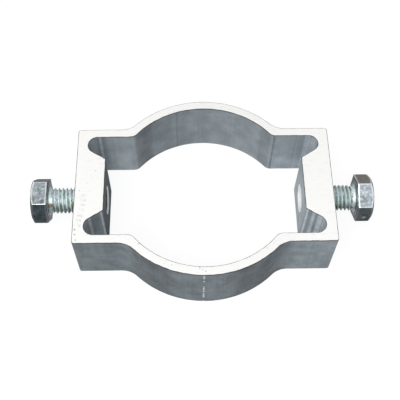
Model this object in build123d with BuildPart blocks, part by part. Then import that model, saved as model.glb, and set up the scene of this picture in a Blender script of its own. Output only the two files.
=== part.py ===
from build123d import *

import os
from math import isclose, radians, tan

# Sign post clamp: a ring sawn from one extruded aluminium section, lying on its cut face,
# with a hex screw through each thick end. The post stands in the ring and the screw tips
# grip it. X runs through both screws, Y from the front arc to the back arc, +Z up the post.
# The origin is the middle of the post opening, on the lower cut face.

# Ring section
post_radius = 34.0
arc_wall = 3.5
shoulder_depth = 49.0
shoulder_wall = 3.5
band_height = 25.0
arc_to_shoulder_outside = 8.5
arc_to_shoulder_inside = 3.5
corner_radius = 1.0

# End blocks, each with an undercut pocket on both sides of the screw
post_to_block = 3.5
block_thickness = 11.0
block_face_width = 22.2
pocket_end_wall = 4.1
pocket_width = 7.1
block_edge_radius = 0.4

# Screws, M10 x 20 with a full-length thread, which is a plain cylinder in this model
thread_diameter = 10.0
screw_clearance = 0.05
hole_countersink = 0.5
screw_length = 20.0
head_across_flats = 16.0
head_height = 6.5
head_bevel = 30.0
head_face_share = 0.94
washer_face_diameter = 14.6
washer_face_height = 0.3
neck_diameter = 9.0
neck_length = 1.2
tip_chamfer = 0.8
left_standout = 11.1
right_standout = 10.0
left_head_turn = 7.25
right_head_turn = 23.85

# Places that follow from the sizes above
arc_outer_radius = post_radius + arc_wall
shoulder_y = shoulder_depth / 2
inner_shoulder_y = shoulder_y - shoulder_wall
block_face_x = post_radius + post_to_block
end_x = block_face_x + block_thickness
pocket_radius = pocket_width / 2
screw_height = band_height / 2
hole_radius = thread_diameter / 2 + screw_clearance


def on_line(vertex, y, x_limit):
    """True for a corner on either line y = +-y, nearer the middle than x_limit."""
    return isclose(abs(vertex.Y), y, abs_tol=1e-6) and abs(vertex.X) < x_limit


# One undercut pocket: a round-ended slot along the shoulder, slanting to the block's edge
with BuildSketch() as pocket:
    with BuildLine():
        Line((block_face_x, block_face_width / 2), (block_face_x, inner_shoulder_y))
        CenterArc(
            (end_x - pocket_end_wall - pocket_radius, inner_shoulder_y - pocket_radius),
            pocket_radius, 0, 360)
    make_hull()

# The opening: post circle, space between the blocks and the four pockets
with BuildSketch() as opening:
    Rectangle(2 * block_face_x, 2 * inner_shoulder_y)
    add(pocket.sketch)
    mirror(about=Plane.YZ)
    mirror(about=Plane.XZ)
    block_edges = opening.vertices().filter_by(
        lambda v: isclose(abs(v.X), block_face_x, abs_tol=1e-6)
        and isclose(abs(v.Y), block_face_width / 2, abs_tol=1e-6))
    fillet(block_edges, block_edge_radius)
    Circle(post_radius)
    fillet(opening.vertices().filter_by(lambda v: on_line(v, inner_shoulder_y, post_radius)),
           arc_to_shoulder_inside)

with BuildPart() as clamp_band:
    with BuildSketch() as section:
        Rectangle(2 * end_x, shoulder_depth)
        fillet(section.vertices(), corner_radius)
        Circle(arc_outer_radius)
        fillet(section.vertices().filter_by(lambda v: on_line(v, shoulder_y, arc_outer_radius)),
               arc_to_shoulder_outside)
        add(opening.sketch, mode=Mode.SUBTRACT)
    extrude(amount=band_height)
    for side in (-1, 1):
        with Locations(Plane(origin=(side * end_x, 0, screw_height), z_dir=(side, 0, 0))):
            Hole(hole_radius, depth=block_thickness)
    hole_mouths = clamp_band.edges().filter_by(GeomType.CIRCLE).filter_by(
        lambda e: isclose(e.radius, hole_radius, abs_tol=1e-6))
    chamfer(hole_mouths, hole_countersink)
clamp_band.part.label = "clamp_band"


def hex_screw(side, standout, head_turn):
    """Screw on the left (side -1) or right (side 1), its head standout clear of the end face."""
    under_head = Plane(origin=(side * (end_x + standout), 0, screw_height),
                       x_dir=(0, 1, 0), z_dir=(side, 0, 0))
    face_radius = head_across_flats / 2 * head_face_share
    with BuildPart() as screw:
        # hex head, its outer end bevelled all round
        with BuildSketch(under_head.offset(washer_face_height)):
            RegularPolygon(head_across_flats / 2, 6, major_radius=False, rotation=side * head_turn)
        extrude(amount=head_height - washer_face_height)
        with Locations(under_head):
            Cone(face_radius + head_height / tan(radians(head_bevel)), face_radius, head_height,
                 align=(Align.CENTER, Align.CENTER, Align.MIN), mode=Mode.INTERSECT)
        with BuildSketch(under_head):
            Circle(washer_face_diameter / 2)
        extrude(amount=washer_face_height)
        # neck under the head, then the threaded length with its chamfered tip
        with BuildSketch(under_head):
            Circle(neck_diameter / 2)
        extrude(amount=-neck_length)
        with BuildSketch(under_head.offset(-neck_length)):
            Circle(thread_diameter / 2)
        extrude(amount=neck_length - screw_length)
        tip_edge = screw.edges().filter_by(GeomType.CIRCLE).sort_by(Axis.X)[0 if side > 0 else -1]
        chamfer(tip_edge, tip_chamfer)
    return screw.part


left_set_screw = hex_screw(-1, left_standout, left_head_turn)
left_set_screw.label = "left_set_screw"
right_set_screw = hex_screw(1, right_standout, right_head_turn)
right_set_screw.label = "right_set_screw"

os.makedirs("parts", exist_ok=True)
export_step(clamp_band.part, "parts/clamp_band.step")
export_step(left_set_screw, "parts/left_set_screw.step")
export_step(right_set_screw, "parts/right_set_screw.step")
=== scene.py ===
from math import asin, atan2, cos, degrees, hypot, pi, radians, sin, sqrt, tan

import bmesh
import bpy
from mathutils import Matrix, Vector, noise
from mathutils.geometry import tessellate_polygon


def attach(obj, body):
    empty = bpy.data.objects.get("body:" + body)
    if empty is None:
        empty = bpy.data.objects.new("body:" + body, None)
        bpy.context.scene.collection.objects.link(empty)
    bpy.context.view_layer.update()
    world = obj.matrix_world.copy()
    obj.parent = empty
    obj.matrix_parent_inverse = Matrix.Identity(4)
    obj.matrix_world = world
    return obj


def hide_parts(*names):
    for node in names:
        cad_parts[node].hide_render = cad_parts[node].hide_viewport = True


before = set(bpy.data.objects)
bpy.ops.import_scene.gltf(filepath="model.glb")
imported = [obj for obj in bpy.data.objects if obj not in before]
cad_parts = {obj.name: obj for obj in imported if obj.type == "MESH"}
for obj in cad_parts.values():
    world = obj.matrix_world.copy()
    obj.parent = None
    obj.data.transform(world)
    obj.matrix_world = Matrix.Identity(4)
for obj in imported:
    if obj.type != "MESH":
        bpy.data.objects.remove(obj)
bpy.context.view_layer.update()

# Sign post clamp, dressed for the render. Sizes are in millimetres, as in the part's source,
# and become metres where a mesh is made. The ring lies on the floor, its front arc towards -Y.
MM = 0.001

# Camera: solved from the photo, image 400 x 400 with its centre on the camera's axis
IMAGE_SIDE = 400
FOCAL_PIXELS = 766.6
SENSOR_WIDTH = 36.0
CAMERA_PLACE = Vector((-6.23, -143.61, 274.89))
CAMERA_PITCH = 61.354
CAMERA_YAW = 1.900
CAMERA_ROLL = 1.092

# Ring section
POST_RADIUS = 34.0
ARC_WALL = 3.5
SHOULDER_Y = 24.5
INNER_SHOULDER_Y = 21.0
END_X = 48.5
BAND_HEIGHT = 25.0
OUTSIDE_SWEEP = 8.5
INSIDE_SWEEP = 3.5
CORNER_RADIUS = 1.0
BLOCK_FACE_X = 37.5
BLOCK_FACE_HALF = 11.1
BLOCK_EDGE_RADIUS = 0.4
POCKET_CENTRE = (40.85, 17.45)
POCKET_RADIUS = 3.55

# Cut edges: how far they are broken, how much that wavers, and its waves as (waves per
# millimetre, strength, shift up). The walls have a support row beside them, and the outline
# has a point at every step along it or turn of an arc.
EDGE_BREAK = 0.22
EDGE_BREAK_NOISE = 0.09
EDGE_WAVES = ((0.45, 1.0, 0.0), (1.4, 0.6, 7.0))
EDGE_BREAK_ANGLES = (90, 60, 30, 0)
WALL_SUPPORT = 0.5
OUTLINE_STEP = 0.8
ARC_TURN_STEP = 6.0
SMALL_ARC_RADIUS = 4.0
RING_SHARP_ANGLE = 40

# Screw holes. Their cutters run on past both mouths.
HOLE_RADIUS = 5.04
HOLE_COUNTERSINK = 0.5
HOLE_COLUMNS = 96
CUTTER_OVERRUN = 1.0
SCREW_Z = 12.5

# Screws, M10 x 20 with the 1.5 pitch, 16 across the flats
CREST_RADIUS = 4.97
PITCH = 1.5
SCREW_LENGTH = 20.0
TIP_CHAMFER = 0.8
ROOT_RADIUS = CREST_RADIUS - TIP_CHAMFER
NECK_RADIUS = 4.5
NECK_LENGTH = 1.1
HEAD_HALF_FLATS = 8.0
HEAD_HEIGHT = 6.5
HEAD_BEVEL = 30.0
HEAD_FACE_RADIUS = 7.52
HEAD_CORNER_RADIUS = 0.35
WASHER_RADIUS = 7.3
WASHER_HEIGHT = 0.3
BEVEL_SOFTNESS = 0.16
SCREW_SHARP_ANGLE = 32
SCREW_MERGE = 0.002
LEFT_STANDOUT = 11.1
RIGHT_STANDOUT = 10.0
LEFT_HEAD_TURN = 7.25
RIGHT_HEAD_TURN = 23.85
# A thread turn as (share of the pitch, share of the depth below the crest). The helix starts
# some turns before the tip and is cut off there, and the same at the neck.
THREAD_TURN = ((0.00, 0.08), (0.03, 0.0), (0.12, 0.0), (0.15, 0.08),
               (0.40, 0.93), (0.46, 1.0), (0.69, 1.0), (0.75, 0.93))
ROWS_PER_TURN = len(THREAD_TURN)
THREAD_LEAD = 1.5
THREAD_TURNS = round((SCREW_LENGTH - NECK_LENGTH) / PITCH + 2 * THREAD_LEAD)
# How fast the crests rise out of the neck and the roots sink below it
CREST_RUNOUT = 1.2
ROOT_RUNOUT = 0.3
# Columns over half a flat of the head, as degrees from its corner
COLUMNS = (0.0, 0.45, 0.9, 1.3, 3.2, 9.0, 15.0, 22.0)
CORNER_COLUMNS_END = 1.0
# How much painted shade (for shade and dark reflections) and how much brown tone the flats of
# each head get, from its first corner on, and the same for the other zones of both heads
LEFT_FLATS = ((1.0, 0.0), (0.0, 0.0), (1.0, 0.1), (0.7, 0.0), (0.8, 0.0), (0.6, 0.2))
RIGHT_FLATS = ((0.35, 1.0), (0.0, 0.0), (0.95, 0.1), (0.7, 0.2), (0.8, 0.0), (0.5, 0.4))
ZONE_SHADE_AND_TONE = {"neck": (0.1, 0.0), "under": (0.45, 0.15), "bevel": (0.9, 0.1), "end": (0.12, 0.1)}
# Reach of the bright edge wear and painted highlight from the edges of a head's flats
WEAR_AND_HIGHLIGHT_REACH = 0.75
# The bands of faces up to the neck's end, which keep the shank's material
NECK_BANDS = 3


# ---- meshes ----

def new_object(name, data):
    """An object of the scene around a mesh, a light or a camera."""
    piece = bpy.data.objects.new(name, data)
    bpy.context.scene.collection.objects.link(piece)
    return piece


def mesh_object(name, points, faces, starts=()):
    """An object from points in millimetres. Each start is the first face of the next material."""
    mesh = bpy.data.meshes.new(name)
    mesh.from_pydata([Vector(p) * MM for p in points], [], faces)
    mesh.polygons.foreach_set("material_index", [sum(i >= start for start in starts)
                                                 for i in range(len(faces))])
    mesh.validate()
    piece = new_object(name, mesh)
    piece.data.shade_smooth()
    return piece


def skin(rows):
    """Quads between closed rows of equal length, as indices into the rows joined end to end."""
    count = len(rows[0])
    return [(r * count + i, r * count + (i + 1) % count,
             (r + 1) * count + (i + 1) % count, (r + 1) * count + i)
            for r in range(len(rows) - 1) for i in range(count)]


def face_outward(piece):
    """Turns every face of a closed mesh outwards."""
    edit = bmesh.new()
    edit.from_mesh(piece.data)
    bmesh.ops.recalc_face_normals(edit, faces=edit.faces)
    edit.to_mesh(piece.data)
    edit.free()


def revolved(name, profile, side, columns):
    """A solid turned from (x, radius) pairs about the screw axis, on one side of the ring."""
    # half a step off the axes, so that no corner falls on an edge of the ring's walls
    angles = [2 * pi * (i + 0.5) / columns for i in range(columns)]
    rows = [[(side * x, r * cos(a), SCREW_Z + r * sin(a)) for a in angles] for x, r in profile]
    last = (len(rows) - 1) * columns
    ends = [tuple(range(columns)), tuple(range(last, last + columns))]
    piece = mesh_object(name, [p for row in rows for p in row], skin(rows) + ends)
    face_outward(piece)
    return piece


def apply_modifiers(piece):
    """Turns the piece's modifiers into its mesh."""
    graph = bpy.context.evaluated_depsgraph_get()
    mesh = bpy.data.meshes.new_from_object(piece.evaluated_get(graph))
    piece.modifiers.clear()
    piece.data = mesh


def cut_out(piece, tool):
    """Cuts the tool out of the piece, lines the cut with its material and deletes the tool."""
    cut = piece.modifiers.new("cut", "BOOLEAN")
    cut.operation, cut.object = "DIFFERENCE", tool
    cut.solver, cut.material_mode = "EXACT", "TRANSFER"
    apply_modifiers(piece)
    bpy.data.objects.remove(tool)


def finish_shading(piece, sharp_degrees):
    """Smooth shading that breaks at sharp edges and leaves the large flat faces flat."""
    piece.data.set_sharp_from_angle(angle=radians(sharp_degrees))
    weights = piece.modifiers.new("weights", "WEIGHTED_NORMAL")
    weights.keep_sharp = True
    apply_modifiers(piece)


# ---- ring ----

def arc(centre, radius, start, end):
    """Points from start to end degrees about a centre, both ends included."""
    swept = abs(end - start)
    steps = max(2, round(radians(swept) * max(radius, SMALL_ARC_RADIUS) / OUTLINE_STEP),
                round(swept / ARC_TURN_STEP))
    angles = [radians(start + (end - start) * i / steps) for i in range(steps + 1)]
    return [(centre[0] + radius * cos(a), centre[1] + radius * sin(a)) for a in angles]


def fill_runs(points):
    """Adds points along the straight runs, so that a cut edge can waver there too."""
    filled = []
    for (ax, ay), (bx, by) in zip(points, points[1:]):
        steps = max(1, round(hypot(bx - ax, by - ay) / OUTLINE_STEP))
        filled += [(ax + (bx - ax) * i / steps, ay + (by - ay) * i / steps) for i in range(steps)]
    return filled + [points[-1]]


def mirror_quarter(quarter):
    """The closed outline from its quarter with x and y above 0, which starts on the X axis."""
    half = quarter + [(-x, y) for x, y in reversed(quarter[:-1])]
    return half + [(x, -y) for x, y in reversed(half[1:-1])]


def swept_corner(shoulder_y, arc_radius, sweep):
    """Points of the sweep from a shoulder into the arc, then of the arc up to the Y axis."""
    centre_y = shoulder_y + sweep
    reach = arc_radius + sweep
    centre_x = sqrt(reach ** 2 - centre_y ** 2)
    meet = degrees(atan2(centre_y, centre_x))
    return (arc((centre_x, centre_y), sweep, -90, meet - 180)
            + arc((0, 0), arc_radius, meet, 90)[1:])


def outer_outline():
    """The ring's outside, with its arcs, shoulders and end faces."""
    corner = arc((END_X - CORNER_RADIUS, SHOULDER_Y - CORNER_RADIUS), CORNER_RADIUS, 0, 90)
    return mirror_quarter(fill_runs(
        [(END_X, 0)] + corner + swept_corner(SHOULDER_Y, POST_RADIUS + ARC_WALL, OUTSIDE_SWEEP)))


def opening_outline():
    """The post's opening with the four undercut pockets."""
    edge = (BLOCK_FACE_X, BLOCK_FACE_HALF)
    to_pocket = (POCKET_CENTRE[0] - edge[0], POCKET_CENTRE[1] - edge[1])
    slant = degrees(atan2(to_pocket[1], to_pocket[0]) - asin(POCKET_RADIUS / hypot(*to_pocket)))
    turn = 90 - slant
    inset = BLOCK_EDGE_RADIUS * tan(radians(turn / 2))
    edge_arc = arc((BLOCK_FACE_X + BLOCK_EDGE_RADIUS, BLOCK_FACE_HALF - inset),
                   BLOCK_EDGE_RADIUS, 180, 180 - turn)
    pocket = arc(POCKET_CENTRE, POCKET_RADIUS, slant - 90, 90)
    return mirror_quarter(fill_runs(
        [(BLOCK_FACE_X, 0)] + edge_arc + pocket
        + swept_corner(INNER_SHOULDER_Y, POST_RADIUS, INSIDE_SWEEP)))


def normals_of(outline):
    """Unit normals on the right-hand side of each point's direction of travel."""
    result = []
    for i, (x, y) in enumerate(outline):
        ax, ay = outline[i - 1]
        bx, by = outline[(i + 1) % len(outline)]
        tx, ty = bx - x, by - y
        sx, sy = x - ax, y - ay
        dx = tx / hypot(tx, ty) + sx / hypot(sx, sy)
        dy = ty / hypot(tx, ty) + sy / hypot(sx, sy)
        result.append((dy / hypot(dx, dy), -dx / hypot(dx, dy)))
    return result


def edge_break(x, y, height):
    """How far a cut edge is broken at a point of it."""
    wobble = sum(strength * noise.noise(Vector((x, y, height + shift)) * waves)
                 for waves, strength, shift in EDGE_WAVES)
    return EDGE_BREAK + EDGE_BREAK_NOISE * wobble


def wall_rows(outline, into_metal):
    """Rows of one wall from the lower cut edge to the upper, with both edges broken unevenly."""
    normals = normals_of(outline)
    rounding = [(1 - cos(radians(a)), 1 - sin(radians(a)), 0.0) for a in EDGE_BREAK_ANGLES]
    lower = rounding + [(0.0, 1.0, WALL_SUPPORT)]
    rows = []
    for upper in (False, True):
        height = BAND_HEIGHT if upper else 0.0
        for inset, drop, support in (reversed(lower) if upper else lower):
            row = []
            for (x, y), (nx, ny) in zip(outline, normals):
                size = edge_break(x, y, height)
                from_edge = size * drop + support
                shift = into_metal * size * inset
                row.append((x + nx * shift, y + ny * shift,
                            height - from_edge if upper else from_edge))
            rows.append(row)
    return rows


def cut_faces(outer, inner, row):
    """Faces of the lower or upper cut, between one row of the outer and of the inner wall."""
    loops = [[Vector(p) for p in wall[row]] for wall in (outer, inner)]
    first_outer = row * len(outer[0])
    first_inner = len(outer) * len(outer[0]) + row * len(inner[0])
    ids = [first_outer + i for i in range(len(outer[0]))] \
        + [first_inner + i for i in range(len(inner[0]))]
    return [tuple(ids[i] for i in face) for face in tessellate_polygon(loops)]


def make_ring(outside, inside, sawn, bored):
    """The ring as one mesh, with the screw holes cut through its end blocks."""
    outer = wall_rows(outer_outline(), -1)
    inner = wall_rows(opening_outline(), 1)
    points = [p for row in outer + inner for p in row]
    first_inner = len(outer) * len(outer[0])
    outside_faces = skin(outer)
    inside_faces = [tuple(first_inner + i for i in face) for face in skin(inner)]
    faces = outside_faces + inside_faces
    walls = (len(outside_faces), len(faces))
    for row in (0, len(outer) - 1):
        faces += cut_faces(outer, inner, row)
    ring = mesh_object("ring", points, faces, walls)
    face_outward(ring)
    for material in (outside, inside, sawn):
        ring.data.materials.append(material)
    for side in (-1, 1):
        bore = revolved("bore", bore_profile(), side, HOLE_COLUMNS)
        bore.data.materials.append(bored)
        cut_out(ring, bore)
    finish_shading(ring, RING_SHARP_ANGLE)
    return ring


def bore_profile():
    """(x, radius) of the cutter for a screw hole, which widens past both of its mouths."""
    wide = HOLE_RADIUS + HOLE_COUNTERSINK + CUTTER_OVERRUN
    return [(BLOCK_FACE_X - CUTTER_OVERRUN, wide), (BLOCK_FACE_X + HOLE_COUNTERSINK, HOLE_RADIUS),
            (END_X - HOLE_COUNTERSINK, HOLE_RADIUS), (END_X + CUTTER_OVERRUN, wide)]


# ---- screws ----

def column_angles():
    """Angles round a screw from its first head corner, closer together at the corners."""
    facet = list(COLUMNS) + [30.0] + [60 - c for c in reversed(COLUMNS[1:])]
    return [60 * i + a for i in range(6) for a in facet]


def from_corner(angle):
    """Degrees from an angle to the nearest corner of the head."""
    return min(angle % 60, 60 - angle % 60)


def hex_radius(angle):
    """Radius of the rounded hexagon at an angle from one of its corners, in degrees."""
    turn = radians(from_corner(angle))
    flat = HEAD_HALF_FLATS / cos(radians(30) - turn)
    centre = (HEAD_HALF_FLATS - HEAD_CORNER_RADIUS) / cos(radians(30))
    reach = HEAD_CORNER_RADIUS ** 2 - (centre * sin(turn)) ** 2
    if reach <= 0:
        return flat
    return min(flat, centre * cos(turn) + sqrt(reach))


def at_corner(angle):
    """1 on the rounded corners of a head, 0 on its flats."""
    return float(from_corner(angle) < CORNER_COLUMNS_END)


def head_rings(angle):
    """(height above the head's underside, radius, wear and painted highlight, zone) up one column
    of the head.
    """
    flat = hex_radius(angle)
    fall = tan(radians(HEAD_BEVEL))
    bevel = HEAD_HEIGHT - (flat - HEAD_FACE_RADIUS) * fall
    soft = BEVEL_SOFTNESS
    return [(-0.35, NECK_RADIUS, 1, "neck"),
            (-0.1, NECK_RADIUS + 0.1, 1, "neck"),
            (0.0, NECK_RADIUS + 0.35, 1, "neck"),
            (0.0, NECK_RADIUS + 1.4, 0.3, "under"),
            (0.0, WASHER_RADIUS - 0.15, 0, "under"),
            (0.06, WASHER_RADIUS - 0.03, 0.5, "under"),
            (0.15, WASHER_RADIUS, 0, "under"),
            (WASHER_HEIGHT, WASHER_RADIUS, 0, "under"),
            (WASHER_HEIGHT, flat - 0.3, 0, "under"),
            (WASHER_HEIGHT + 0.06, flat - 0.08, 0.8, "flat"),
            (WASHER_HEIGHT + 0.22, flat, 0.8, "flat"),
            (WASHER_HEIGHT + WEAR_AND_HIGHLIGHT_REACH, flat, 0, "flat"),
            (bevel - WEAR_AND_HIGHLIGHT_REACH, flat, 0, "flat"),
            (bevel - soft, flat, 0.8, "flat"),
            (bevel - soft * 0.15, flat - soft * 0.22, 0.8, "flat"),
            (bevel + soft * 0.5, flat - soft * 0.87, 0, "bevel"),
            (HEAD_HEIGHT - 0.12 * fall, HEAD_FACE_RADIUS + 0.12, 0.2, "bevel"),
            (HEAD_HEIGHT, HEAD_FACE_RADIUS - 0.12, 0.2, "end"),
            (HEAD_HEIGHT, HEAD_FACE_RADIUS * 0.6, 0, "end"),
            (HEAD_HEIGHT, HEAD_FACE_RADIUS * 0.25, 0, "end")]


def thread_radius(height, depth):
    """Radius of the thread at a height (0 under the head) and a share of its depth."""
    from_tip = height + SCREW_LENGTH
    from_neck = max(0.0, -NECK_LENGTH - height)
    crest = min(CREST_RADIUS, CREST_RADIUS - TIP_CHAMFER + from_tip,
                NECK_RADIUS + from_neck * CREST_RUNOUT)
    root = max(ROOT_RADIUS, NECK_RADIUS - from_neck * ROOT_RUNOUT)
    return min(crest, CREST_RADIUS + (root - CREST_RADIUS) * depth)


def thread_rows(angles, turn):
    """Helical rows up the thread, of (height, radius, angle, wear and painted highlight, painted
    shade, brown tone).
    """
    rows = []
    for row in range(THREAD_TURNS * ROWS_PER_TURN + 1):
        share, depth = THREAD_TURN[row % ROWS_PER_TURN]
        turns = row // ROWS_PER_TURN + share - THREAD_LEAD
        points = []
        for angle in angles:
            height = (turns + angle / 360) * PITCH - SCREW_LENGTH
            height = min(max(height, -SCREW_LENGTH), -NECK_LENGTH)
            points.append((height, thread_radius(height, depth), angle + turn, 1 - depth, 0, 0))
        rows.append(points)
    return rows


def thread_faces(count):
    """Quads between the thread's rows of count points. A row runs on into the next turn's."""
    last = THREAD_TURNS * ROWS_PER_TURN

    def at(row, column):
        return row * count + column if column < count else (row + ROWS_PER_TURN) * count

    return [(at(row, column), at(row, column + 1), at(row + 1, column + 1), at(row + 1, column))
            for row in range(last) for column in range(count)
            if column + 1 < count or row + 1 + ROWS_PER_TURN <= last]


def head_rows(angles, turn, flats):
    """Level rows up the neck and the head, of (height, radius, angle, wear and painted highlight,
    painted shade, brown tone).
    """
    neck = [(-NECK_LENGTH, NECK_RADIUS, angle + turn, 0.5, 0, 0) for angle in angles]
    columns = []
    for angle in angles:
        column = []
        for height, radius, wear_and_highlight, zone in head_rings(angle):
            shade_and_tone = ZONE_SHADE_AND_TONE.get(zone)
            if zone == "flat":
                wear_and_highlight, shade_and_tone = max(wear_and_highlight, at_corner(angle)), flats[int(angle // 60)]
            column.append((height, radius, angle + turn, wear_and_highlight, *shade_and_tone))
        columns.append(column)
    return [neck] + [list(row) for row in zip(*columns)]


def make_screw(name, side, standout, head_turn, flats, materials):
    """A hex screw as one mesh, built along +X with its head's underside at 0, then moved."""
    angles = column_angles()
    count = len(angles)
    shank = thread_rows(angles, side * head_turn)
    head = head_rows(angles, side * head_turn, flats)
    faces = thread_faces(count)
    first_head_face = len(faces) + NECK_BANDS * count
    first = len(shank) * count
    faces += [tuple(first + i for i in face) for face in skin(head)]
    end = first + (len(head) - 1) * count
    faces.append(tuple(range(end, end + count)))

    vertices = [vertex for row in shank + head for vertex in row]
    points = [(h, r * cos(radians(a)), r * sin(radians(a))) for h, r, a, *_ in vertices]
    screw = mesh_object(name, points, faces, [first_head_face])
    for material in materials:
        screw.data.materials.append(material)
    for field, attribute in enumerate(("wear_and_highlight", "painted_shade", "brown_tone"), start=3):
        values = screw.data.attributes.new(attribute, "FLOAT", "POINT")
        values.data.foreach_set("value", [float(vertex[field]) for vertex in vertices])
    close_screw(screw)
    seat = Matrix.Translation(Vector((side * (END_X + standout), 0, SCREW_Z)) * MM)
    if side < 0:
        seat = seat @ Matrix.Rotation(pi, 4, "Z")
    screw.data.transform(seat)
    finish_shading(screw, SCREW_SHARP_ANGLE)
    return screw


def close_screw(screw):
    """Merges what the clamped rows leave at the thread's ends, and closes the tip."""
    edit = bmesh.new()
    edit.from_mesh(screw.data)
    bmesh.ops.remove_doubles(edit, verts=edit.verts, dist=SCREW_MERGE * MM)
    bmesh.ops.dissolve_degenerate(edit, edges=edit.edges, dist=SCREW_MERGE * MM)
    bmesh.ops.holes_fill(edit, edges=[e for e in edit.edges if e.is_boundary], sides=0)
    bmesh.ops.recalc_face_normals(edit, faces=edit.faces)
    edit.to_mesh(screw.data)
    edit.free()
    screw.data.shade_smooth()


# ---- materials ----

# Share of its reach over which a near() stays at 1
NEAR_CORE = 0.35


class Tree:
    """A node tree under construction. Its methods add nodes and return the resulting output."""

    def __init__(self, owner):
        owner.use_nodes = True
        self.nodes, self.links = owner.node_tree.nodes, owner.node_tree.links
        self.nodes.clear()

    def add(self, kind, inputs, **settings):
        node = self.nodes.new(kind)
        for name, value in settings.items():
            setattr(node, name, value)
        for key, value in inputs.items():
            if isinstance(value, bpy.types.NodeSocket):
                self.links.new(value, node.inputs[key])
            else:
                node.inputs[key].default_value = value
        return node

    def math(self, operation, *values):
        return self.add("ShaderNodeMath", dict(enumerate(values)), operation=operation).outputs[0]

    def times(self, a, b):
        return self.math("MULTIPLY", a, b)

    def plus(self, a, b):
        return self.math("ADD", a, b)

    def fade(self, value, low, high, at_low=0.0, at_high=1.0):
        """Goes smoothly from at_low to at_high as the value goes from low to high."""
        return self.add("ShaderNodeMapRange", {0: value, 1: low, 2: high, 3: at_low, 4: at_high},
                        interpolation_type="SMOOTHSTEP").outputs[0]

    def mix(self, share, a, b):
        return self.add("ShaderNodeMix", {0: share, 6: a, 7: b}, data_type="RGBA").outputs[2]

    def scaled(self, colour, share):
        return self.add("ShaderNodeVectorMath", {0: colour, "Scale": share},
                        operation="SCALE").outputs[0]

    def place(self):
        return self.add("ShaderNodeTexCoord", {}).outputs["Object"]

    def axes(self, vector):
        return self.add("ShaderNodeSeparateXYZ", {0: vector}).outputs

    def stretch(self, vector, scale, turn=(0.0, 0.0, 0.0)):
        return self.add("ShaderNodeMapping", {"Vector": vector, "Rotation": turn,
                                              "Scale": scale}).outputs[0]

    def noise(self, vector, scale, detail=3.0, roughness=0.55):
        """Noise whose features are about 1 / scale metres across."""
        return self.add("ShaderNodeTexNoise", {"Vector": vector, "Scale": scale, "Detail": detail,
                                               "Roughness": roughness}).outputs[0]

    def near(self, vector, point, radius):
        """1 at a point in millimetres, falling to 0 at a radius from it."""
        apart = self.add("ShaderNodeVectorMath", {0: vector, 1: tuple(Vector(point) * MM)},
                         operation="DISTANCE").outputs["Value"]
        return self.fade(apart, radius * MM * NEAR_CORE, radius * MM, 1.0, 0.0)

    def bump(self, height, depth):
        """The normal over a relief whose height of 1 stands for a depth in millimetres."""
        return self.add("ShaderNodeBump", {"Height": height, "Strength": 1.0,
                                           "Distance": depth * MM}).outputs[0]

    def metal(self, colour, metallic, roughness, normal, **others):
        """Ends the tree with one Principled shader."""
        inputs = {"Base Color": colour, "Metallic": metallic, "Roughness": roughness,
                  "Normal": normal, **others}
        self.surface(self.add("ShaderNodeBsdfPrincipled", inputs).outputs[0])

    def surface(self, shader):
        self.add("ShaderNodeOutputMaterial", {"Surface": shader})


def new_material(name):
    """A material, its tree and the place vector that its patterns follow, in metres."""
    material = bpy.data.materials.new(name)
    t = Tree(material)
    return material, t, t.place()


def grey(value, tint=(1.0, 1.0, 1.0)):
    """A grey, tinted a little, as an opaque colour."""
    return (value * tint[0], value * tint[1], value * tint[2], 1.0)


# Extruded faces: cool grey aluminium as it left the die, darker than the sawn faces partly for
# its finish and partly as painted shade; the inside copy is painted lighter than the outside
# one, as painted light
OUTSIDE_DARK = grey(0.185, (0.85, 1.00, 1.10))
OUTSIDE_LIGHT = grey(0.270, (0.88, 1.00, 1.08))
INSIDE_DARK = grey(0.30, (0.87, 1.00, 1.09))
INSIDE_LIGHT = grey(0.385, (0.90, 1.00, 1.07))
EDGE_DARK = grey(0.05, (1.0, 0.95, 1.0))
EDGE_LIGHT = grey(0.55, (0.95, 1.0, 1.03))
LIGHT_FLECK_AND_HIGHLIGHT = grey(0.72, (0.92, 1.00, 1.05))
DIE_LINE_DARK = grey(0.09, (0.95, 1.00, 1.05))
# Light lines, painted highlights in the pockets and a faint light band by the back wall's right
# bend; dark die lines on the back; and the seam on the front arc, as (x, y, half width, strength)
LIGHT_LINES = ((38.2, -11.55, 0.3, 0.9), (40.4, -12.95, 0.45, 0.9), (42.6, -14.4, 0.7, 1.0),
               (44.1, -15.4, 0.25, 0.8), (-38.3, -11.6, 0.3, 0.9), (-42.5, -14.3, 0.4, 0.8),
               (-40.2, 21.0, 0.4, 0.7), (40.9, 21.0, 0.7, 0.45), (26.9, 21.34, 0.4, 0.14))
DARK_LINES = ((-10.3, 32.4, 0.26, 0.22), (27.95, 21.04, 0.24, 0.45), (36.5, 21.0, 0.2, 0.15))
SEAM = (-0.68, -37.5, 0.2, 0.75)
SEAM_LIGHT = grey(0.80)
# A dark line of painted shade under the upper cut edge and a light one over the lower, as the
# distances from the edge where it is gone and where it is full
UPPER_EDGE_LINE = (0.34, 0.20)
LOWER_EDGE_LINE = (0.45, 0.25)
# Painted light: how much lighter the metal is painted at the left and right ends than in the
# middle, outside and inside, and from where to where the change goes
GAIN_START = 24.0
GAIN_END = 31.0
OUTSIDE_GAINS = (0.0, 0.36)
INSIDE_GAINS = (0.25, 0.28)
# Painted shade on the left block's inner face: the squeeze of Y that makes it small, its reach and
# its tone
SHADED_FACE_SQUEEZE = 0.06
SHADED_FACE_REACH = 1.25
SHADED_FACE_SHARE = 0.60
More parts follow.
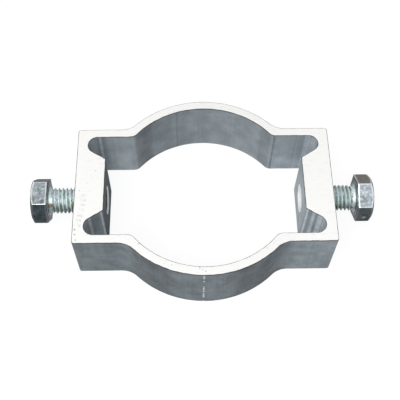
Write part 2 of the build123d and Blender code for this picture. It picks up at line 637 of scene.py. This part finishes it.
# Painted shade in clouds, as (x, y, reach, tone at the middle, x where it starts at a bend if it
# does)
OUTSIDE_SHADE_CLOUDS = ((-20.0, -31.7, 13.0, 0.66, None), (21.0, -31.0, 18.0, 0.68, None))
INSIDE_SHADE_CLOUDS = ((-24.0, 24.0, 7.0, 0.72, -26.6), (-17.0, 29.5, 18.0, 0.86, None),
                 (25.0, 22.8, 5.0, 0.85, None), (-42.5, -15.0, 9.0, 0.68, None),
                 (-43.0, 19.0, 7.5, 0.72, None), (41.0, -14.0, 6.0, 0.85, None))


def lines_along_extrusion(t, colour, flat_place, lines, breaks, line_colour):
    """A colour with lines along the extrusion laid over it, faint where breaks is low."""
    for x, y, half_width, strength in lines:
        line = t.times(t.near(flat_place, (x, y, 0), half_width * 2), breaks)
        colour = t.mix(t.times(line, strength), colour, line_colour)
    return colour


def painted_light_and_shade(t, along, flat_place, light_gains, shade_clouds):
    """Painted light and shade: how light the metal is painted from region to region."""
    tone = t.plus(t.fade(along, -GAIN_START * MM, -GAIN_END * MM, 1.0, 1.0 + light_gains[0]),
                  t.fade(along, GAIN_START * MM, GAIN_END * MM, 0.0, light_gains[1]))
    for x, y, reach, shade_tone, start in shade_clouds:
        cloud = t.near(flat_place, (x, y, 0), reach)
        if start is not None:
            cloud = t.times(cloud, t.fade(along, (start - 0.5) * MM, (start + 0.5) * MM, 0.3, 1.0))
        tone = t.times(tone, t.fade(cloud, 0.0, 1.0, 1.0, shade_tone))
    return tone


def extruded_aluminium(name, dark, light, light_gains, shade_clouds, light_lines, dark_lines, seams):
    """An as-extruded surface with die lines, seams and painted highlights along the extrusion, and
    painted light and shade.
    """
    material, t, place = new_material(name)
    flat_place = t.stretch(place, (1.0, 1.0, 0.0))
    mottle = t.noise(place, 160, 4.0, 0.6)
    grain = t.noise(place, 1500, 2.0, 0.6)
    streaks = t.noise(t.stretch(place, (1.0, 1.0, 0.03)), 900, 3.0, 0.65)
    tone = t.plus(t.times(mottle, 0.75), t.times(streaks, 0.25))
    colour = t.mix(t.fade(tone, 0.30, 0.70), dark, light)
    colour = t.mix(t.fade(grain, 0.62, 0.80, 0.0, 0.35), colour, LIGHT_FLECK_AND_HIGHLIGHT)
    colour = t.mix(t.fade(grain, 0.36, 0.22, 0.0, 0.30), colour, DIE_LINE_DARK)

    broken = t.fade(t.noise(place, 420, 2.0), 0.35, 0.6, 0.65, 1.0)
    dashes = t.fade(t.noise(t.stretch(place, (0.2, 0.2, 1.0)), 700, 1.0), 0.42, 0.55)
    colour = lines_along_extrusion(t, colour, flat_place, light_lines, broken, LIGHT_FLECK_AND_HIGHLIGHT)
    colour = lines_along_extrusion(t, colour, flat_place, dark_lines, broken, DIE_LINE_DARK)
    colour = lines_along_extrusion(t, colour, flat_place, seams, dashes, SEAM_LIGHT)

    along, _, up = t.axes(place)
    # Painted shade on the left block's face, which is also less metallic there
    painted_shade = t.near(t.stretch(place, (1.0, SHADED_FACE_SQUEEZE, 0.0)), (-BLOCK_FACE_X, 0, 0), SHADED_FACE_REACH)
    share = t.times(painted_light_and_shade(t, along, flat_place, light_gains, shade_clouds),
                    t.fade(painted_shade, 0.0, 1.0, 1.0, SHADED_FACE_SHARE))
    colour = t.scaled(colour, share)
    # A dark line of painted shade under the upper cut edge, a light line over the lower
    gone, full = (BAND_HEIGHT * MM - distance * MM for distance in UPPER_EDGE_LINE)
    colour = t.mix(t.fade(up, gone, full, 0.0, 0.85), colour, EDGE_DARK)
    gone, full = (distance * MM for distance in LOWER_EDGE_LINE)
    colour = t.mix(t.fade(up, gone, full, 0.0, 0.7), colour, EDGE_LIGHT)
    relief = t.plus(t.times(streaks, 0.8), t.times(grain, 0.35))
    t.metal(colour, t.fade(painted_shade, 0.0, 0.9, 0.45, 0.0), t.fade(tone, 0.3, 0.7, 0.6, 0.48),
            t.bump(relief, 0.05), **{"Specular IOR Level": 0.0})
    return material


# Sawn faces: bright, nearly white metal with faint saw marks
SAWN = grey(0.87, (1.0, 0.998, 0.98))
SAWN_RIGHT = grey(0.92, (1.0, 0.998, 0.98))
SAWN_SHADE = grey(0.66, (0.97, 1.0, 1.02))
SAWN_CHATTER = grey(0.50, (0.98, 1.0, 1.02))
SAWN_PIT = grey(0.22, (1.04, 1.0, 0.98))
SAW_LINE_TURN = 35.0
# The strip on the left block where the blade chattered: its ends and half width, and the
# spacing and slant of its marks
CHATTER_START = (-44.5, -3.8)
CHATTER_END = (-46.8, -19.0)
CHATTER_HALF = 1.5
CHATTER_PITCH = 2.1
CHATTER_TURN = -12.0
# Nicks in the upper cut face, as (x, y, radius, strength)
NICKS = ((-24.1, -24.8, 0.55, 0.6), (-0.1, -35.8, 0.5, 0.6), (-2.2, -34.6, 0.45, 0.6),
         (-1.2, -35.3, 0.4, 0.5), (22.1, -26.9, 0.5, 0.5), (-41.1, 6.0, 0.5, 0.35),
         (-39.6, 11.5, 0.5, 0.3), (-38.3, 11.4, 0.4, 0.3), (-47.5, -18.9, 0.5, 0.9),
         (-47.4, -20.9, 0.5, 0.8), (-46.9, -23.1, 0.45, 0.7), (-14.2, -31.6, 0.5, 0.35),
         (-12.1, -33.3, 0.4, 0.4), (-46.6, -2.6, 0.4, 0.5), (-44.0, 0.6, 0.5, 0.25))


def chatter_marks(t, place):
    """Strength of the chatter marks, in their strip on the left block's upper face."""
    x, y, z = t.axes(place)
    slope = (CHATTER_END[0] - CHATTER_START[0]) / (CHATTER_END[1] - CHATTER_START[1])
    foot = (CHATTER_START[0] - slope * CHATTER_START[1]) * MM
    off_line = t.math("SUBTRACT", t.math("SUBTRACT", x, t.times(y, slope)), foot)
    strip = t.fade(t.math("ABSOLUTE", off_line), CHATTER_HALF * 0.5 * MM, CHATTER_HALF * MM,
                   1.0, 0.0)
    for (_, end_y), reach in ((CHATTER_START, 1.0), (CHATTER_END, -1.0)):
        strip = t.times(strip, t.fade(y, (end_y + reach) * MM, (end_y - reach) * MM))
    strip = t.times(strip, t.fade(z, (BAND_HEIGHT - 1) * MM, (BAND_HEIGHT - 0.5) * MM))
    turned = t.stretch(place, (1.0, 1.0, 1.0), (0.0, 0.0, radians(-CHATTER_TURN)))
    across = t.times(t.axes(turned)[1], 2 * pi / (CHATTER_PITCH * MM))
    smudge = t.noise(place, 420, 2.0)
    across = t.plus(across, t.times(smudge, 10.0))
    teeth = t.fade(t.math("SINE", across), -0.3, 1.0, 0.15, 1.0)
    return t.times(t.times(strip, teeth), t.fade(smudge, 0.38, 0.58, 0.25, 1.0))


def pits_and_nicks(t, place):
    """Strength of the small pits of the sawn faces and of the nicks in the upper one."""
    speck = t.noise(place, 900, 3.0, 0.6)
    pits = t.fade(speck, 0.70, 0.78)
    for x, y, radius, strength in NICKS:
        nick = t.near(place, (x, y, BAND_HEIGHT), radius)
        nick = t.times(nick, t.fade(speck, 0.38, 0.55, strength * 0.3, strength))
        pits = t.math("MAXIMUM", pits, nick)
    return pits


def sawn_aluminium():
    """The cut faces, brighter towards the right, with fine saw marks, chatter and nicks."""
    material, t, place = new_material("sawn_aluminium")
    saw_turn = (0.0, 0.0, radians(SAW_LINE_TURN))
    marks = t.noise(t.stretch(place, (0.25, 1.0, 1.0), saw_turn), 1300, 2.0, 0.6)
    chatter = chatter_marks(t, place)
    pits = pits_and_nicks(t, place)
    colour = t.mix(t.fade(t.axes(place)[0], 20 * MM, 45 * MM), SAWN, SAWN_RIGHT)
    colour = t.mix(t.fade(marks, 0.52, 0.78, 0.0, 0.25), colour, SAWN_SHADE)
    colour = t.mix(t.times(chatter, 0.46), colour, SAWN_CHATTER)
    colour = t.mix(t.times(pits, 0.8), colour, SAWN_PIT)
    relief = t.math("SUBTRACT", t.times(marks, 0.5), t.plus(pits, chatter))
    t.metal(colour, 0.15, t.fade(marks, 0.3, 0.7, 0.5, 0.62), t.bump(relief, 0.04))
    return material


# Screw holes: bright metal, with painted shade in the left bore from a little past its inner mouth
BORE_BRIGHT = grey(0.97, (1.0, 1.0, 0.99))
BORE_SHADE = grey(0.84, (0.98, 1.0, 1.02))
BORE_PAINTED_SHADE = (0.065, 0.059, 0.056, 1.0)
BORE_MOUTH = 0.6


def bored_aluminium():
    """The tapped bores and their countersunk mouths, with painted shade deep in the left bore."""
    material, t, place = new_material("bored_aluminium")
    rings = t.noise(t.stretch(place, (1.0, 0.1, 0.1)), 2200, 2.0, 0.6)
    fleck = t.noise(place, 900, 2.0, 0.6)
    colour = t.mix(t.fade(rings, 0.4, 0.6), BORE_BRIGHT, BORE_SHADE)
    mouth = (-BLOCK_FACE_X - BORE_MOUTH) * MM
    deep_shade = t.fade(t.axes(place)[0], mouth - 0.2 * MM, mouth + 0.1 * MM, 1.0, 0.0)
    deep_shade = t.times(deep_shade, t.fade(fleck, 0.58, 0.68, 1.0, 0.3))
    colour = t.mix(deep_shade, colour, BORE_PAINTED_SHADE)
    t.metal(colour, 0.1, t.fade(rings, 0.3, 0.7, 0.4, 0.5), t.bump(rings, 0.03))
    return material


# Zinc plating: bright grey, faint green and blue cast, dull flecks, painted shade, a brown tone
ZINC_GREEN = grey(0.23, (0.84, 1.06, 1.06))
ZINC_BLUE = grey(0.38, (0.90, 1.00, 1.12))
ZINC_DULL_AND_SHADE = grey(0.034, (0.66, 1.04, 1.22))
ZINC_BRIGHT = grey(0.80, (0.96, 1.0, 1.02))
# Thread: crests lighter from wear and a painted highlight, roots darker with painted shade
THREAD_ROOT = grey(0.26, (0.84, 1.05, 0.98))
THREAD_CREST = grey(0.90, (0.90, 1.04, 1.00))
THREAD_BLUE = grey(0.74, (0.90, 1.00, 1.10))
RUST = (0.28, 0.16, 0.085, 1.0)
ZINC_BROWN_TONE = (0.165, 0.150, 0.122, 1.0)
# Painted light on the tips: shade on the left screw's tip, a highlight on the right one's
TIP_SHADE = (0.072, 0.062, 0.054, 1.0)
TIP_HIGHLIGHT = grey(0.95, (0.99, 1.0, 1.0))
# Painted shade along the front of the shanks, low down: its (y, z), reach and tone
LOW_SHADE_PLACE = (-4.4, 10.1)
LOW_SHADE_REACH = 7.0
LOW_SHADE_TONE = 0.55
# Rust on the left shank, as (x, y, z, radius), and the marks on the heads, as (x, y, z, radius,
# colour, share, depth): a dent on the left one, darkened with painted shade, and two dents on
# the right one, one with a painted highlight and one darkened with painted shade
LEFT_RUST = ((-59.1, -3.8, 15.2, 1.5),)
LEFT_HEAD_MARKS = ((-61.4, -4.2, 20.0, 1.2, ZINC_DULL_AND_SHADE, 0.6, 2.0),)
RIGHT_HEAD_MARKS = ((61.9, -8.1, 11.4, 1.2, ZINC_BRIGHT, 0.2, 1.5),
                    (61.2, -7.7, 13.5, 1.0, ZINC_DULL_AND_SHADE, 0.6, 1.0))


def mask(t, attribute):
    """One of the screw mesh's own values: wear and painted highlight, painted shade or brown tone.
    """
    return t.add("ShaderNodeAttribute", {}, attribute_name=attribute).outputs["Fac"]


def head_plating(name, marks):
    """Plating of a head: painted shade and a brown tone where its mesh says so, bright edges of
    wear and painted highlight, and its own marks.
    """
    material, t, place = new_material(name)
    cloud = t.noise(place, 260, 4.0, 0.6)
    patch = t.noise(place, 900, 3.0, 0.6)
    fleck = t.noise(place, 1900, 3.0, 0.65)
    scratch = t.noise(t.stretch(place, (0.12, 1.0, 1.0), (0.0, 0.3, 0.5)), 2400, 2.0, 0.6)
    colour = t.mix(t.fade(cloud, 0.35, 0.65), ZINC_GREEN, ZINC_BLUE)
    for grain, strength in ((patch, 0.45), (fleck, 0.28)):
        colour = t.mix(t.fade(grain, 0.48, 0.32, 0.0, strength), colour, ZINC_DULL_AND_SHADE)
        colour = t.mix(t.fade(grain, 0.53, 0.68, 0.0, strength), colour, ZINC_BRIGHT)
    colour = t.mix(t.fade(scratch, 0.62, 0.75, 0.0, 0.4), colour, ZINC_BRIGHT)
    painted_shade = t.times(mask(t, "painted_shade"), t.fade(cloud, 0.3, 0.6, 1.0, 0.88))
    colour = t.mix(painted_shade, colour, ZINC_DULL_AND_SHADE)
    colour = t.mix(t.times(mask(t, "brown_tone"), 0.75), colour, ZINC_BROWN_TONE)
    # Bright edges: wear and a painted highlight, faint where the painted shade is strong
    edge = t.times(mask(t, "wear_and_highlight"), t.fade(cloud, 0.3, 0.55, 0.55, 1.0))
    colour = t.mix(t.times(edge, t.fade(painted_shade, 0.1, 0.8, 1.0, 0.14)), colour, ZINC_BRIGHT)
    relief = t.plus(t.times(fleck, 0.5), t.times(scratch, 0.25))
    for x, y, z, radius, mark_colour, share, depth in marks:
        mark = t.near(place, (x, y, z), radius)
        colour = t.mix(t.times(mark, share), colour, mark_colour)
        relief = t.math("SUBTRACT", relief, t.times(mark, depth))
    t.metal(colour, 0.8, t.fade(fleck, 0.3, 0.7, 0.45, 0.30), t.bump(relief, 0.04),
            **{"Specular Tint": grey(0.5)})
    return material


def thread_plating(name, rust_spots, tip_x, tip_painted_light):
    """Plating of a shank: crests and neck lighter from wear and painted highlight, roots darker
    with painted shade, painted shade low on the front, and painted light on the tip.
    """
    material, t, place = new_material(name)
    cloud = t.noise(place, 330, 3.0, 0.6)
    fleck = t.noise(place, 1700, 3.0, 0.65)
    crest = t.plus(mask(t, "wear_and_highlight"), t.fade(fleck, 0.3, 0.7, -0.25, 0.25))
    colour = t.mix(t.fade(crest, 0.05, 0.65), THREAD_ROOT, THREAD_CREST)
    colour = t.mix(t.fade(cloud, 0.45, 0.62, 0.0, 0.6), colour, THREAD_BLUE)
    colour = t.mix(t.fade(fleck, 0.40, 0.30, 0.0, 0.7), colour, ZINC_DULL_AND_SHADE)
    low_shade = t.near(t.stretch(place, (0.0, 1.0, 1.0)), (0.0, *LOW_SHADE_PLACE), LOW_SHADE_REACH)
    colour = t.scaled(colour, t.fade(low_shade, 0.0, 1.0, 1.0, LOW_SHADE_TONE))
    outward = t.math("ABSOLUTE", t.axes(place)[0])
    tip = t.fade(outward, (tip_x + 1.0) * MM, (tip_x + 0.8) * MM)
    colour = t.mix(tip, colour, tip_painted_light)
    for x, y, z, radius in rust_spots:
        rust = t.times(t.near(place, (x, y, z), radius), t.fade(fleck, 0.3, 0.5, 0.5, 1.0))
        colour = t.mix(t.times(rust, 0.85), colour, RUST)
    t.metal(colour, t.fade(tip, 0.0, 1.0, 0.5, 0.0), t.fade(fleck, 0.3, 0.7, 0.62, 0.42),
            t.bump(fleck, 0.03), **{"Specular IOR Level": 0.0})
    return material


# ---- stage ----

FLOOR_SIDE = 3000.0
FLOOR_COLOUR = 0.50
FLOOR_GLOW = 1.25
FLOOR_GLOW_SHARE = 0.72
AMBIENT = 0.45
LAMP_AIM = Vector((0.0, 0.0, 10.0))
# Lamps, as (name, place, width, power): the key over the front arc, the fill from the left
LAMPS = (("key", (-90.0, -300.0, 560.0), 420.0, 2.15),
         ("fill", (-420.0, -80.0, 360.0), 320.0, 0.85))


def seen_rays(t):
    """1 for rays that show the background: from the camera, in gloss and through glass."""
    path = t.add("ShaderNodeLightPath", {})
    seen = t.math("MAXIMUM", path.outputs["Is Camera Ray"], path.outputs["Is Glossy Ray"])
    return t.math("MAXIMUM", seen, path.outputs["Is Transmission Ray"])


def make_world():
    """White where it is seen, and a soft ambient light on the object."""
    world = bpy.data.worlds.new("studio")
    bpy.context.scene.world = world
    t = Tree(world)
    strength = t.fade(seen_rays(t), 0.0, 1.0, AMBIENT, 1.0)
    background = t.add("ShaderNodeBackground", {"Color": grey(1.0), "Strength": strength})
    t.add("ShaderNodeOutputWorld", {"Surface": background.outputs[0]})


def make_floor():
    """A pale floor that keeps the object's shadow and shows nearly white in the background."""
    half = FLOOR_SIDE / 2
    corners = [(-half, -half, 0), (half, -half, 0), (half, half, 0), (-half, half, 0)]
    floor = mesh_object("floor", corners, [(0, 1, 2, 3)])
    material = bpy.data.materials.new("floor")
    t = Tree(material)
    diffuse = t.add("ShaderNodeBsdfDiffuse", {"Color": grey(FLOOR_COLOUR)}).outputs[0]
    glow = t.add("ShaderNodeEmission", {"Color": grey(1.0), "Strength": FLOOR_GLOW}).outputs[0]
    share = t.times(seen_rays(t), FLOOR_GLOW_SHARE)
    t.surface(t.add("ShaderNodeMixShader", {0: share, 1: diffuse, 2: glow}).outputs[0])
    floor.data.materials.append(material)


def make_lamp(name, place, width, power):
    """A round soft lamp at a place in millimetres, aimed at the object."""
    light = bpy.data.lights.new(name, "AREA")
    light.shape, light.size, light.energy = "DISK", width * MM, power
    lamp = new_object(name, light)
    lamp.location = Vector(place) * MM
    lamp.rotation_euler = (LAMP_AIM - Vector(place)).to_track_quat("-Z", "Y").to_euler()


def make_camera():
    """The photo's camera: pitched down from level, turned right of +Y and rolled."""
    pitch, yaw, roll = radians(CAMERA_PITCH), radians(CAMERA_YAW), radians(CAMERA_ROLL)
    forward = Vector((sin(yaw) * cos(pitch), cos(yaw) * cos(pitch), -sin(pitch)))
    level = Vector((cos(yaw), -sin(yaw), 0))
    above = level.cross(forward)
    right = level * cos(roll) + above * sin(roll)
    up = above * cos(roll) - level * sin(roll)
    data = bpy.data.cameras.new("camera")
    data.sensor_width = SENSOR_WIDTH
    data.lens = FOCAL_PIXELS / IMAGE_SIDE * SENSOR_WIDTH
    camera = new_object("camera", data)
    axes = Matrix((right, up, -forward)).transposed().to_4x4()
    camera.matrix_world = Matrix.Translation(CAMERA_PLACE * MM) @ axes
    bpy.context.scene.camera = camera


# ---- assembly ----

def dress():
    """Makes the pieces, each on its body in place of its CAD node."""
    outside = extruded_aluminium("extruded_outside", OUTSIDE_DARK, OUTSIDE_LIGHT, OUTSIDE_GAINS,
                                 OUTSIDE_SHADE_CLOUDS, (), (), (SEAM,))
    inside = extruded_aluminium("extruded_inside", INSIDE_DARK, INSIDE_LIGHT, INSIDE_GAINS,
                                INSIDE_SHADE_CLOUDS, LIGHT_LINES, DARK_LINES, ())
    ring = make_ring(outside, inside, sawn_aluminium(), bored_aluminium())
    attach(ring, "band")
    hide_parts("clamp_band")
    left = (thread_plating("zinc_left_shank", LEFT_RUST,
                           END_X + LEFT_STANDOUT - SCREW_LENGTH, TIP_SHADE),
            head_plating("zinc_left_head", LEFT_HEAD_MARKS))
    right = (thread_plating("zinc_right_shank", (),
                            END_X + RIGHT_STANDOUT - SCREW_LENGTH, TIP_HIGHLIGHT),
             head_plating("zinc_right_head", RIGHT_HEAD_MARKS))
    for name, side, standout, turn, flats, materials, body, node in (
            ("left_screw", -1, LEFT_STANDOUT, LEFT_HEAD_TURN, LEFT_FLATS, left,
             "left_screw", "left_set_screw"),
            ("right_screw", 1, RIGHT_STANDOUT, RIGHT_HEAD_TURN, RIGHT_FLATS, right,
             "right_screw", "right_set_screw")):
        screw = make_screw(name, side, standout, turn, flats, materials)
        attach(screw, body)
        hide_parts(node)


make_world()
make_floor()
for lamp in LAMPS:
    make_lamp(*lamp)
make_camera()
dress()
bpy.context.scene.view_settings.view_transform = "Standard"
